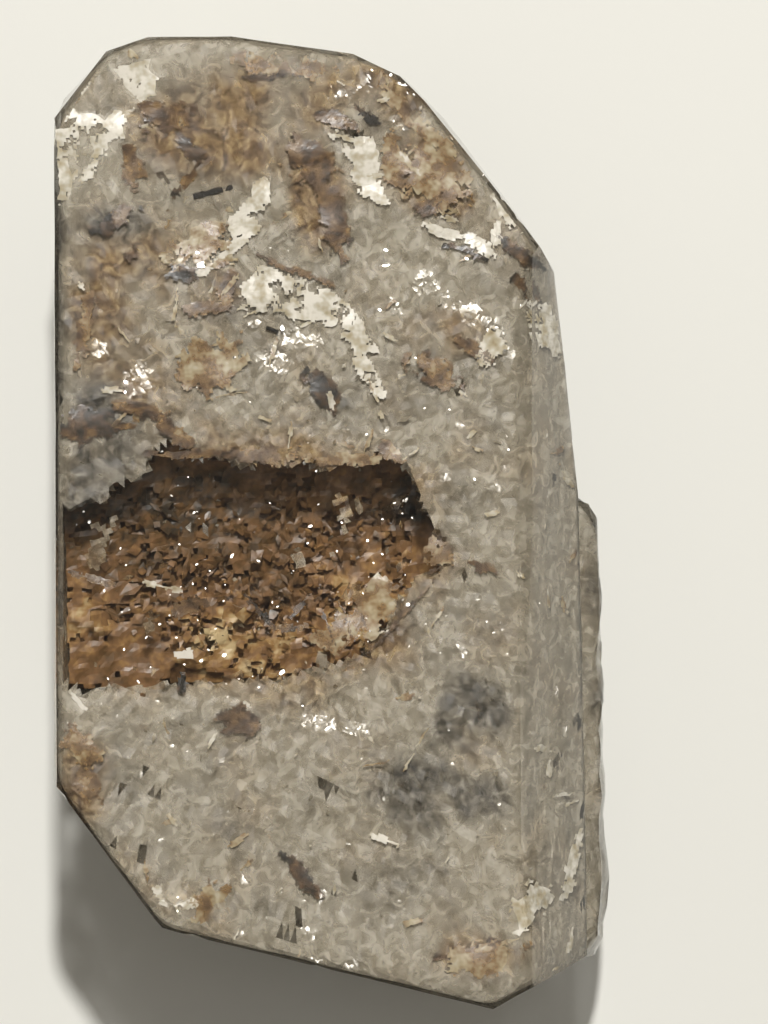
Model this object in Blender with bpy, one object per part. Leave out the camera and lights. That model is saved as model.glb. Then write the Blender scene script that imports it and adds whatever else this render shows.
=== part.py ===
"""A clear quartz crystal grown round a book of rusty mica, lying on its flat underside.

Lengths are in metres and +Z is up. The origin is the middle of the crystal's outline, on the
surface that it rests on. +Y runs along the crystal to its capped end, and +X to its broken flank.
The crystal is a body cut by flat faces, as a real one is bounded. The mica comes out at its left
face, and a healed crack dusted with fine mica runs through the crystal round the mica's right end.
"""

import math
import random

import bmesh
import bpy
from mathutils import Euler, Matrix, Vector, noise

MM = 0.001

# Driving dimensions
TOP_HEIGHT = 12.9 * MM
TOP_TILT = Vector((0.022, 0.012, 1.0))
LEDGE_SLOPE_DEG = 38.0
FLANK_TOP_HEIGHT = 12.2 * MM
FLANK_TOP_TILT = Vector((0.62, 0.05, 1.0))
MICA_GAP = 0.35 * MM
MICA_CENTRE = Vector((-3.4, -1.7, 7.3)) * MM
MICA_TURN_DEG = (9.0, 7.0, 0.0)
MICA_PLATE = 0.52 * MM
PAST_THE_FACE = 6.0 * MM
SEED = 11

# The faces round the crystal, clockwise from above. Each row is the corner where a face starts,
# in mm, then the height of its widest line and how far it leans in below and above that line,
# in degrees from upright.
MAIN_FACES = (
    # x, y, widest line, lean below, lean above
    (-10.88, 16.30, 9.2, 12, 13),  # left of the cap
    (-8.88, 18.50, 8.6, 14, 14),  # corner of the cap
    (-7.40, 19.02, 8.0, 16, 9),  # cap
    (-3.20, 19.02, 7.8, 18, 11),  # slope of the cap
    (0.94, 18.33, 8.1, 18, 13),  # turn of the cap
    (2.70, 17.50, 8.4, 19, 15),  # shoulder
    (4.10, 16.10, 8.6, 24, 17),  # long slope
    (7.75, 11.40, 8.2, 20, 14),  # hip
    (8.65, 9.90, 8.6, 12, 8),  # upper right
    (9.50, 2.00, 9.2, 12, 33),  # lower right
    (9.75, -17.20, 6.2, 24, 10),  # broken corner
    (6.35, -19.04, 6.8, 27, 5),  # foot
    (-6.73, -15.87, 7.6, 30, 5),  # lower left
    (-10.80, -10.35, 12.6, 5, 30),  # left
)
LEFT_FACE = len(MAIN_FACES) - 1

# A second, lower growth that runs along the right side, its left part inside the main body.
FLANK_FACES = (
    (5.00, 1.60, 6.0, 4, 4),
    (8.60, 1.60, 6.0, 30, 20),
    (10.40, 0.45, 5.6, 20, 16),
    (10.68, -4.20, 5.2, 24, 13),
    (10.80, -16.40, 5.4, 30, 18),
    (10.15, -17.25, 5.6, 34, 10),
    (5.00, -17.60, 6.0, 4, 4),
)
# The flank is broken, not grown: how far its surface wanders, and the width of its steps.
FLANK_ROUGHNESS = 0.24 * MM
FLANK_STEP = 0.85 * MM

# Growth ledges that stand on the upper face: height above it, and corners in mm.
LEDGES = (
    # the upper half, the lower half, then what stands on them from the cap down
    (0.28, ((-9.7, 15.0), (-7.4, 16.9), (0.8, 16.2), (3.0, 14.4), (6.2, 10.2), (6.9, 1.8), (2.6, -3.3),
            (-9.8, -4.3))),
    (0.22, ((-9.9, -5.3), (2.2, -4.4), (6.6, -1.6), (6.9, -15.4), (4.8, -17.1), (-6.2, -14.6),
            (-9.9, -9.2))),
    (0.46, ((-8.0, 16.2), (0.4, 15.5), (1.8, 14.1), (-0.6, 12.9), (-7.9, 13.9))),
    (0.42, ((2.6, 9.8), (5.4, 9.4), (6.2, 2.6), (4.4, 0.6), (2.3, 4.6))),
    (0.40, ((-8.6, 6.9), (-3.2, 6.2), (-1.4, 1.2), (-3.8, -2.5), (-8.8, -2.9))),
    (0.36, ((-1.2, -6.4), (4.9, -5.8), (5.6, -12.9), (1.6, -14.8), (-3.6, -12.6))),
)

# Shell-shaped breaks in the upper face: place, radius and depth in mm.
SCALLOPS = (
    (-5.05, 11.80, 2.5, 0.62),
    (5.30, 11.50, 1.5, 0.50),
    (-8.00, 6.00, 1.3, 0.45),
    (2.00, 11.20, 1.5, 0.50),
    (-0.20, -7.60, 1.7, 0.38),
    (7.60, 8.90, 1.3, 0.60),
    (-6.00, -14.20, 1.0, 0.50),
    (8.00, -13.60, 1.4, 0.60),
)

# Etch pits, small three-sided hollows in the upper face: place and radius in mm.
PITS = (
    (-8.9, -3.2, 0.45),
    (-7.4, -6.9, 0.34),
    (-2.7, 13.6, 0.40),
    (0.4, 12.7, 0.30),
    (1.9, -11.6, 0.46),
    (3.9, -6.2, 0.36),
    (-2.4, -12.0, 0.32),
    (6.1, 4.6, 0.36),
    (0.6, 3.6, 0.30),
    (8.0, -5.6, 0.40),
)
PIT_DEPTH = 0.30 * MM

# The mica's outline in its own plane, in mm from its middle: six-sided, long to the left, one
# corner worn.
MICA_OUTLINE = ((7.75, 0.1), (7.2, 2.9), (5.5, 4.9), (-8.0, 4.9), (-12.0, 0.0), (-8.0, -4.7), (3.7, -4.7))
# How far each plate of the book stops short of that outline, bottom to top, in mm.
MICA_STEPS = (1.5, 0.7, 0.2, 0.0, 0.5, 1.1, 2.0)

# The veil of fine mica on a healed crack: its outline from above, in mm, anticlockwise, its middle
# height, how far it waves, and the width of the facets that it is made of.
VEIL_OUTLINE = (
    (5.6, -16.2), (7.6, -14.4), (7.4, 1.8), (6.4, 9.2), (1.2, 15.2), (-5.6, 15.6), (-8.4, 13.6),
    (-8.4, -9.6), (-5.6, -13.4),
)
VEIL_HEIGHT = 6.8 * MM
VEIL_WAVE = 0.45 * MM
# The lengths over which it waves, across and along, divided by a full turn.
VEIL_WAVE_ACROSS = 2.9 * MM
VEIL_WAVE_ALONG = 4.3 * MM
VEIL_FACET = 2.0 * MM
VEIL_THICKNESS = 0.5 * MM
# Half the height of the block that clears the veil from above and below the book.
BOOK_CLEARANCE = 9.0 * MM

# Flakes broken off the flank: count, and the range of heights and sizes in mm.
FLANK_CHIPS = 17
CHIP_HEIGHTS = (2.0, 9.5)
CHIP_SIZES = (0.45, 1.15)
# The corner broken off beside the foot, seen from above, in mm.
BROKEN_CORNER = ((8.30, -17.85), (6.70, -19.60), (6.70, -21.00), (12.00, -21.00), (12.00, -17.05))
# Larger bites out of the edges: place and radius in mm.
BITES = (
    (8.40, -18.20, 5.6, 0.95),
    (11.10, -17.60, 6.8, 0.95),
    (-11.10, -10.90, 3.2, 1.00),
    (-9.60, 18.60, 12.9, 1.00),
    (4.90, -19.60, 11.4, 0.90),
    (6.60, 13.90, 12.7, 0.85),
)


def clear_scene():
    for obj in list(bpy.data.objects):
        bpy.data.objects.remove(obj, do_unlink=True)


def new_collection(name):
    collection = bpy.data.collections.new(name)
    bpy.context.scene.collection.children.link(collection)
    return collection


def add_object(name, bm, collection):
    """Ends a bmesh, and returns its new object in that collection."""
    bmesh.ops.recalc_face_normals(bm, faces=bm.faces)
    mesh = bpy.data.meshes.new(name)
    bm.to_mesh(mesh)
    bm.free()
    obj = bpy.data.objects.new(name, mesh)
    collection.objects.link(obj)
    return obj


def cut_by_plane(bm, point, normal):
    """Takes away what lies past a plane, and closes the cut with one flat face."""
    everything = bm.verts[:] + bm.edges[:] + bm.faces[:]
    cut = bmesh.ops.bisect_plane(
        bm, geom=everything, plane_co=point, plane_no=normal, clear_outer=True, dist=1e-7
    )
    rim = [item for item in cut["geom_cut"] if isinstance(item, bmesh.types.BMEdge)]
    if rim:
        bmesh.ops.contextual_create(bm, geom=rim)


def face_planes(rows):
    """The plane below and the plane above the widest line of each face in a ring of rows."""
    planes = []
    for index, (x, y, height, below, above) in enumerate(rows):
        next_x, next_y = rows[(index + 1) % len(rows)][:2]
        along = Vector((next_x - x, next_y - y, 0.0)).normalized()
        outward = Vector((-along.y, along.x, 0.0))
        point = Vector((x, y, height)) * MM
        for lean, up in ((below, -1.0), (above, 1.0)):
            angle = math.radians(lean)
            normal = outward * math.cos(angle) + Vector((0.0, 0.0, up * math.sin(angle)))
            planes.append((point, normal))
    return planes


def faceted_body(rows, top_height, top_tilt):
    """A block cut down to the faces in rows, with one upper face and a flat underside at z = 0."""
    side = 60.0 * MM
    bm = bmesh.new()
    bmesh.ops.create_cube(bm, size=side, matrix=Matrix.Translation((0.0, 0.0, side / 2)))
    for point, normal in face_planes(rows):
        cut_by_plane(bm, point, normal)
    cut_by_plane(bm, Vector((0.0, 0.0, top_height)), top_tilt.normalized())
    return bm


def ledge(height, corners):
    """A low plate with sloping sides, sunk into the upper face."""
    top = TOP_HEIGHT + height * MM
    lean = 90.0 - LEDGE_SLOPE_DEG
    rows = [(x, y, TOP_HEIGHT / MM - 0.6, 0.0, lean) for x, y in corners]
    bm = faceted_body(rows, top, TOP_TILT)
    cut_by_plane(bm, Vector((0.0, 0.0, TOP_HEIGHT - 1.5 * MM)), Vector((0.0, 0.0, -1.0)))
    return bm


def upper_face_height(x, y):
    """Height of the upper face at a place, in metres."""
    return TOP_HEIGHT - (x * TOP_TILT.x + y * TOP_TILT.y) / TOP_TILT.z


def broken_surface(bm):
    """Cuts a body's faces into small steps and moves them in and out, but for its flat underside."""
    low, high = (Vector(map(pick, zip(*(v.co for v in bm.verts)))) for pick in (min, max))
    for axis in range(3):
        normal = Vector([float(axis == k) for k in range(3)])
        steps = int((high[axis] - low[axis]) / FLANK_STEP)
        for index in range(1, steps):
            place = normal * (low[axis] + index * FLANK_STEP)
            everything = bm.verts[:] + bm.edges[:] + bm.faces[:]
            bmesh.ops.bisect_plane(bm, geom=everything, plane_co=place, plane_no=normal, dist=1e-5)
    bmesh.ops.remove_doubles(bm, verts=bm.verts, dist=0.12 * MM)
    bmesh.ops.triangulate(bm, faces=bm.faces)
    for vert in bm.verts:
        shift = noise.noise_vector(vert.co / (1.3 * MM)) * FLANK_ROUGHNESS
        shift += noise.noise_vector(vert.co / (3.7 * MM)) * FLANK_ROUGHNESS
        shift.z *= min(vert.co.z / FLANK_STEP, 1.0)
        vert.co += shift
    return bm


def broken_corner():
    """A block that takes the corner off from top to bottom, leaving a break that leans a little."""
    bm = bmesh.new()
    verts = [bm.verts.new(Vector((x, y, -5.0)) * MM) for x, y in BROKEN_CORNER]
    raised = bmesh.ops.extrude_face_region(bm, geom=[bm.faces.new(verts)])
    tops = [item for item in raised["geom"] if isinstance(item, bmesh.types.BMVert)]
    bmesh.ops.translate(bm, verts=tops, vec=Vector((-0.4, 0.6, 25.0)) * MM)
    return bm


def scallop(x, y, radius, depth):
    """A ball that dips into the upper face just as far as a shell-shaped break."""
    x, y, radius, depth = x * MM, y * MM, radius * MM, depth * MM
    ball = (radius**2 + depth**2) / (2 * depth)
    centre = Vector((x, y, upper_face_height(x, y) + ball - depth + 0.2 * MM))
    bm = bmesh.new()
    bmesh.ops.create_icosphere(bm, subdivisions=4, radius=ball, matrix=Matrix.Translation(centre))
    return bm


def pit(x, y, radius):
    """A three-sided point that dips into the upper face."""
    x, y, radius = x * MM, y * MM, radius * MM
    place = Matrix.Translation((x, y, upper_face_height(x, y) + 0.35 * MM))
    bm = bmesh.new()
    bmesh.ops.create_cone(
        bm,
        cap_ends=True,
        segments=3,
        radius1=0.0,
        radius2=radius * 2.4,
        depth=PIT_DEPTH * 4,
        matrix=place @ Matrix.Rotation(math.radians(90), 4, "Z"),
    )
    return bm


def stone_chip(centre, size, rng, stretch=(1.0, 1.0, 1.0)):
    """A rough many-sided lump, for cutting a flake out of an edge."""
    bm = bmesh.new()
    bmesh.ops.create_icosphere(bm, subdivisions=2, radius=size)
    for vert in bm.verts:
        vert.co *= rng.uniform(0.86, 1.12)
    turn = Euler([rng.uniform(0.0, math.tau) for _ in range(3)]).to_matrix().to_4x4()
    scale = Matrix.Diagonal((*stretch, 1.0))
    bmesh.ops.transform(bm, matrix=Matrix.Translation(centre) @ scale @ turn, verts=bm.verts)
    return bm


def flank_chips(rng):
    """Flakes broken off along the flank, from its upper end to its lower one."""
    chips = []
    for index in range(FLANK_CHIPS):
        y = -0.4 - 16.0 * (index + rng.uniform(-0.3, 0.3)) / FLANK_CHIPS
        x = 11.25 + 0.02 * index + rng.uniform(-0.2, 0.35)
        z = rng.uniform(*CHIP_HEIGHTS)
        size = rng.uniform(*CHIP_SIZES) * MM
        chips.append(stone_chip(Vector((x, y, z)) * MM, size, rng, (0.8, 1.3, 1.1)))
    return chips


def mica_place():
    turn = Euler([math.radians(a) for a in MICA_TURN_DEG]).to_matrix().to_4x4()
    return Matrix.Translation(MICA_CENTRE) @ turn


def plate(corners, low, high):
    """A flat plate of the mica between two levels of its own plane, put in place in the crystal."""
    bm = bmesh.new()
    verts = [bm.verts.new((x, y, low)) for x, y in corners]
    face = bm.faces.new(verts)
    raised = bmesh.ops.extrude_face_region(bm, geom=[face])
    tops = [item for item in raised["geom"] if isinstance(item, bmesh.types.BMVert)]
    bmesh.ops.translate(bm, verts=tops, vec=(0.0, 0.0, high - low))
    bmesh.ops.transform(bm, matrix=mica_place(), verts=bm.verts)
    return bm


def inset_outline(corners, amount):
    """The outline moved in by that amount along each side's normal, in metres."""
    moved = []
    count = len(corners)
    for index in range(count):
        before, here, after = (Vector(corners[(index + k) % count]) * MM for k in (-1, 0, 1))
        first, second = (here - before).normalized(), (after - here).normalized()
        inward = Vector((-first.y, first.x)) + Vector((-second.y, second.x))
        inward *= amount / max(1.0 + first.dot(second), 0.2)
        moved.append(tuple(here + inward))
    return moved


def mica_plates():
    """The book's plates, bottom to top. Each overlaps the one under it."""
    base = -MICA_PLATE * len(MICA_STEPS) / 2
    bodies = []
    for index, step in enumerate(MICA_STEPS):
        low = base + index * MICA_PLATE
        overlap = 0.05 * MM if index else 0.0
        corners = inset_outline(MICA_OUTLINE, step * MM)
        slip = 0.35 * MM * math.sin(2.4 * index)
        corners = [(x + slip, y - slip) for x, y in corners]
        bodies.append(plate(corners, low - overlap, low + MICA_PLATE))
    return bodies


def mica_pocket(half):
    """The hollow that the mica fills, a little larger than it and open at the left face."""
    corners = inset_outline(MICA_OUTLINE, -MICA_GAP - 0.35 * MM)
    corners = [(x - PAST_THE_FACE if x < -7.0 * MM else x, y) for x, y in corners]
    return plate(corners, -half, half)


def veil_plate(gap):
    """The wavy sheet of the healed crack, grown by gap on every side."""
    corners = inset_outline(VEIL_OUTLINE, -gap)
    wide, long = (2 * max(abs(corner[k]) for corner in corners) for k in (0, 1))
    bm = bmesh.new()
    bmesh.ops.create_grid(
        bm, x_segments=round(wide / VEIL_FACET), y_segments=round(long / VEIL_FACET), size=0.5
    )
    bmesh.ops.scale(bm, verts=bm.verts, vec=(wide, long, 1.0))
    for here, after in zip(corners, corners[1:] + corners[:1]):
        along = Vector(after) - Vector(here)
        everything = bm.verts[:] + bm.edges[:] + bm.faces[:]
        bmesh.ops.bisect_plane(
            bm,
            geom=everything,
            plane_co=(*here, 0.0),
            plane_no=(along.y, -along.x, 0.0),
            clear_outer=True,
            dist=1e-7,
        )
    for vert in bm.verts:
        wave = math.sin(vert.co.x / VEIL_WAVE_ACROSS + 0.6) + math.cos(vert.co.y / VEIL_WAVE_ALONG)
        vert.co.z = VEIL_HEIGHT + VEIL_WAVE * wave - VEIL_THICKNESS / 2 - gap
    raised = bmesh.ops.extrude_face_region(bm, geom=bm.faces[:], use_keep_orig=True)
    tops = [item for item in raised["geom"] if isinstance(item, bmesh.types.BMVert)]
    bmesh.ops.translate(bm, verts=tops, vec=(0.0, 0.0, VEIL_THICKNESS + 2 * gap))
    bmesh.ops.triangulate(bm, faces=bm.faces)
    return bm


def combine(target, operation, tools):
    """One Boolean modifier on target, with every object of a collection."""
    modifier = target.modifiers.new(operation.title(), "BOOLEAN")
    modifier.operation = operation
    modifier.operand_type = "COLLECTION"
    modifier.collection = tools
    modifier.solver = "EXACT"


def hide_tools(tools):
    for obj in tools.objects:
        obj.hide_render = True
        obj.display_type = "WIRE"


def finish_material(name, colour, roughness, transmission=0.0, ior=1.5):
    material = bpy.data.materials.new(name)
    material.use_nodes = True
    shader = material.node_tree.nodes["Principled BSDF"]
    shader.inputs["Base Color"].default_value = (*colour, 1.0)
    shader.inputs["Roughness"].default_value = roughness
    shader.inputs["Metallic"].default_value = 0.0
    shader.inputs["Transmission Weight"].default_value = transmission
    shader.inputs["IOR"].default_value = ior
    return material


def build_quartz(model):
    """The clear crystal: body, flank and ledges joined, then scallops, pits, chips and pockets cut."""
    rng = random.Random(SEED)
    # without this the flank's steps would differ at each run
    noise.seed_set(SEED)
    grown = new_collection("crystal_growths")
    broken = new_collection("crystal_breaks")
    crystal = add_object("quartz_crystal", faceted_body(MAIN_FACES, TOP_HEIGHT, TOP_TILT), model)
    flank = faceted_body(FLANK_FACES, FLANK_TOP_HEIGHT, FLANK_TOP_TILT)
    add_object("flank", broken_surface(flank), grown)
    for index, (height, corners) in enumerate(LEDGES):
        add_object(f"ledge_{index}", ledge(height, corners), grown)
    for index, row in enumerate(SCALLOPS):
        add_object(f"scallop_{index}", scallop(*row), broken)
    for index, row in enumerate(PITS):
        add_object(f"pit_{index}", pit(*row), broken)
    for index, (x, y, z, radius) in enumerate(BITES):
        chip = stone_chip(Vector((x, y, z)) * MM, radius * MM, rng)
        add_object(f"bite_{index}", chip, broken)
    for index, chip in enumerate(flank_chips(rng)):
        add_object(f"chip_{index}", chip, broken)
    add_object("corner", broken_corner(), broken)
    half = MICA_PLATE * len(MICA_STEPS) / 2 + MICA_GAP
    add_object("pocket", mica_pocket(half), broken)
    add_object("veil_pocket", veil_plate(MICA_GAP), broken)
    combine(crystal, "UNION", grown)
    combine(crystal, "DIFFERENCE", broken)
    hide_tools(grown)
    hide_tools(broken)
    crystal.data.materials.append(finish_material("clear quartz", (0.82, 0.80, 0.74), 0.05, 1.0, 1.544))
    return crystal


def build_mica(model):
    """The book of mica: plates of unlike outline joined face to face, cut off at the left face."""
    plates = mica_plates()
    stack = new_collection("mica_plates")
    book = add_object("mica_book", plates[0], model)
    for index, body in enumerate(plates[1:]):
        add_object(f"mica_plate_{index}", body, stack)
    combine(book, "UNION", stack)
    trim = new_collection("mica_trim")
    side = 40.0 * MM
    bm = bmesh.new()
    point, normal = face_planes(MAIN_FACES)[2 * LEFT_FACE]
    turn = normal.to_track_quat("Z", "Y").to_matrix().to_4x4()
    place = Matrix.Translation(point) @ turn @ Matrix.Translation((0.0, 0.0, side / 2))
    bmesh.ops.create_cube(bm, size=side, matrix=place)
    add_object("past_left_face", bm, trim)
    combine(book, "DIFFERENCE", trim)
    hide_tools(stack)
    hide_tools(trim)
    book.data.materials.append(finish_material("rusty mica", (0.20, 0.11, 0.05), 0.45))
    return book


def build_veil(model):
    """The healed crack dusted with fine mica, as one thin sheet that stops short of the book."""
    veil = add_object("mica_veil", veil_plate(0.0), model)
    clearance = new_collection("book_clearance")
    add_object("round_the_book", mica_pocket(BOOK_CLEARANCE), clearance)
    combine(veil, "DIFFERENCE", clearance)
    hide_tools(clearance)
    veil.data.materials.append(finish_material("fine pale mica", (0.50, 0.46, 0.37), 0.5))
    return veil


def main():
    clear_scene()
    model = new_collection("mica_crystal")
    build_quartz(model)
    build_mica(model)
    build_veil(model)


main()
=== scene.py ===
"""A clear quartz crystal with a book of rusty mica and thousands of fine mica flakes inside it.

The crystal lies on pale paper. Sizes are in millimetres in the tables, and in metres in Blender.
+Y runs along the crystal to its capped end, +X to its broken flank, and +Z up from its underside.
"""

import math
from collections import namedtuple

import bmesh
import bpy
import numpy as np
from bpy.props import FloatProperty, FloatVectorProperty, IntProperty, PointerProperty
from mathutils import Euler, Matrix, Vector, noise
from mathutils.bvhtree import BVHTree


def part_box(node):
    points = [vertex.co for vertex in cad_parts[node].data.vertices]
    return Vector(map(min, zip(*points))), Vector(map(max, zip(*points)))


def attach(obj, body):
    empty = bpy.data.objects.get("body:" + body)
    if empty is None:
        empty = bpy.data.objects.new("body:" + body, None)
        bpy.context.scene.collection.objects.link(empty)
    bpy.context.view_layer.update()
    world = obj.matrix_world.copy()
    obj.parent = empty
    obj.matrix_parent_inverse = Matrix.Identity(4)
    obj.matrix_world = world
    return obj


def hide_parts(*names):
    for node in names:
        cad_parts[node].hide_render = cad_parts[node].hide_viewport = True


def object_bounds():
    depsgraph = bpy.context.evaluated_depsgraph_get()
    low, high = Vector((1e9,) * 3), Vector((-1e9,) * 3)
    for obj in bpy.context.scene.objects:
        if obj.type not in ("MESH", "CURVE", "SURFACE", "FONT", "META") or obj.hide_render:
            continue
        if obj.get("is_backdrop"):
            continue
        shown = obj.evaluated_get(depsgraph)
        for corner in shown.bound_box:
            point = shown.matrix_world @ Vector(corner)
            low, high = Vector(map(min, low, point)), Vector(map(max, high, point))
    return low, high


bl_info = {
    "name": "Mica Crystal",
    "version": (1, 0, 0),
    "blender": (4, 5, 0),
    "location": "3D View > Sidebar > Mica Crystal",
    "description": "Builds a clear quartz crystal grown round rusty mica, and a plain stage for it",
    "category": "Add Mesh",
}

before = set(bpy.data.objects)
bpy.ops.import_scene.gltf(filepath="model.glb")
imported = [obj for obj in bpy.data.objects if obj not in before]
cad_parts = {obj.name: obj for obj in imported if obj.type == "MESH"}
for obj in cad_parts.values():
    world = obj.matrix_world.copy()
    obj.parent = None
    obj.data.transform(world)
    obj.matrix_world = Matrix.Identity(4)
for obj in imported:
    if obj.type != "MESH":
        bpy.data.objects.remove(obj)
CAD_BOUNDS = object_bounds()

MM = 0.001
NOISE_SEED = 5

# The book of mica: the middle of the stack, its tilt, and its outline in its own plane.
MICA_CENTRE = Vector((-3.4, -1.7, 7.3)) * MM
MICA_TURN_DEG = (9.0, 7.0, 0.0)
MICA_OUTLINE = ((7.75, 0.1), (7.2, 2.9), (5.5, 4.9), (-8.0, 4.9), (-12.0, 0.0), (-8.0, -4.7), (3.7, -4.7))

# The crystal's upper face: its height in the middle, and how far it falls to +X and +Y.
TOP_HEIGHT = 12.9 * MM
TOP_TILT = (0.022, 0.012)

# How far the normals of the crystal's steep side faces point up, at least and at most.
STEEP_FACES = (0.05, 0.35)

# The left face's outward way, and how far along it the book reaches.
LEFT_OUTWARD = Vector((-1.0, 0.0, -0.087)).normalized()
LEFT_REACH = Vector((-10.75, 0.0, 12.6)).dot(LEFT_OUTWARD) * MM

# The book's ragged outline from above, in mm, with the point at its upper right.
BOOK_FROM_ABOVE = (
    (-12.5, 0.6), (-9.3, 1.0), (-7.8, 2.2), (-6.9, 3.4), (-6.0, 3.1), (-5.0, 2.75), (-3.6, 2.65), (-0.8, 2.5), (1.3, 2.55),
    (1.95, 3.2), (3.1, 2.55), (3.75, 1.4), (4.1, 0.45), (4.55, -0.7), (4.6, -1.25), (4.5, -1.9), (3.75, -2.25),
    (3.1, -3.0), (2.1, -4.2), (1.0, -5.6), (-2.0, -6.4), (-5.6, -6.55), (-8.4, -6.95), (-12.5, -6.5),
)

# How weathered the mica is in places, in mm from above: 0 fresh and black, 0.5 brown, 1 ochre.
BOOK_TONES = (
    (-9.2, 0.9, 0.28),
    (-9.9, 2.8, 0.3),
    (-6.2, 0.3, 0.2),
    (-4.6, 1.6, 0.32),
    (-7.2, -1.5, 0.42),
    (-3.7, -1.5, 0.45),
    (-2.2, 0.3, 0.42),
    (-1.1, 1.5, 0.5),
    (-1.3, 2.7, 0.6),
    (-5.2, 2.7, 0.5),
    (2.1, 2.5, 0.6),
    (3.1, 0.8, 0.12),
    (4.1, -1.3, 0.74),
    (0.0, -1.0, 0.58),
    (2.4, -1.4, 0.55),
    (0.7, -3.9, 0.82),
    (1.9, -3.0, 0.78),
    (-2.2, -3.0, 0.35),
    (-1.2, -3.9, 0.6),
    (-2.8, -5.0, 0.78),
    (-4.5, -4.3, 0.9),
    (-5.2, -3.3, 0.6),
    (-8.2, -3.0, 0.55),
    (-9.9, -3.9, 0.74),
    (-7.6, -5.2, 0.6),
    (-8.8, -6.2, 0.5),
)

# Clear windows in the haze, as outlines in mm from above. Each holds a pale sheet, painted light for the lit paper seen
# through it.
CLEAR_WINDOWS = (
    # the pale corner beside the cap
    ((-6.5, 18.0), (-6.7, 17.3), (-7.2, 16.5), (-7.9, 16.1), (-8.1, 15.1), (-8.4, 14.4), (-9.0, 14.1),
     (-9.5, 13.3), (-10.2, 12.5), (-10.9, 12.2), (-10.9, 16.3), (-10.2, 17.1), (-9.5, 17.5), (-7.6, 17.9)),
    # the bright window in the middle
    ((-2.8, 10.1), (0.4, 8.8), (0.9, 8.0), (0.5, 7.5), (-2.2, 8.2), (-3.7, 8.3), (-3.6, 9.2), (-3.0, 9.6)),
    # the strip that runs down from it, and the ribbed slab below that
    ((0.5, 7.5), (0.9, 8.0), (1.6, 6.9), (1.7, 6.6), (0.9, 6.4), (0.2, 7.4)),
    ((0.7, 6.3), (1.2, 6.5), (2.2, 5.1), (1.9, 4.6), (1.3, 5.4)),
    # the striped window under the cap
    ((-0.2, 15.1), (1.5, 15.1), (1.6, 14.2), (1.9, 13.4), (2.2, 12.4), (1.4, 12.6), (0.8, 13.1), (0.7, 14.0)),
    # the crescent round the shell-shaped crack
    ((-2.4, 13.5), (-2.5, 12.2), (-2.9, 11.4), (-3.7, 10.5), (-4.7, 9.7), (-5.4, 9.4), (-5.8, 9.5), (-4.7, 10.1),
     (-4.1, 10.7), (-3.9, 11.3), (-4.1, 11.9), (-3.5, 12.4), (-3.1, 13.2)),
)
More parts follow.
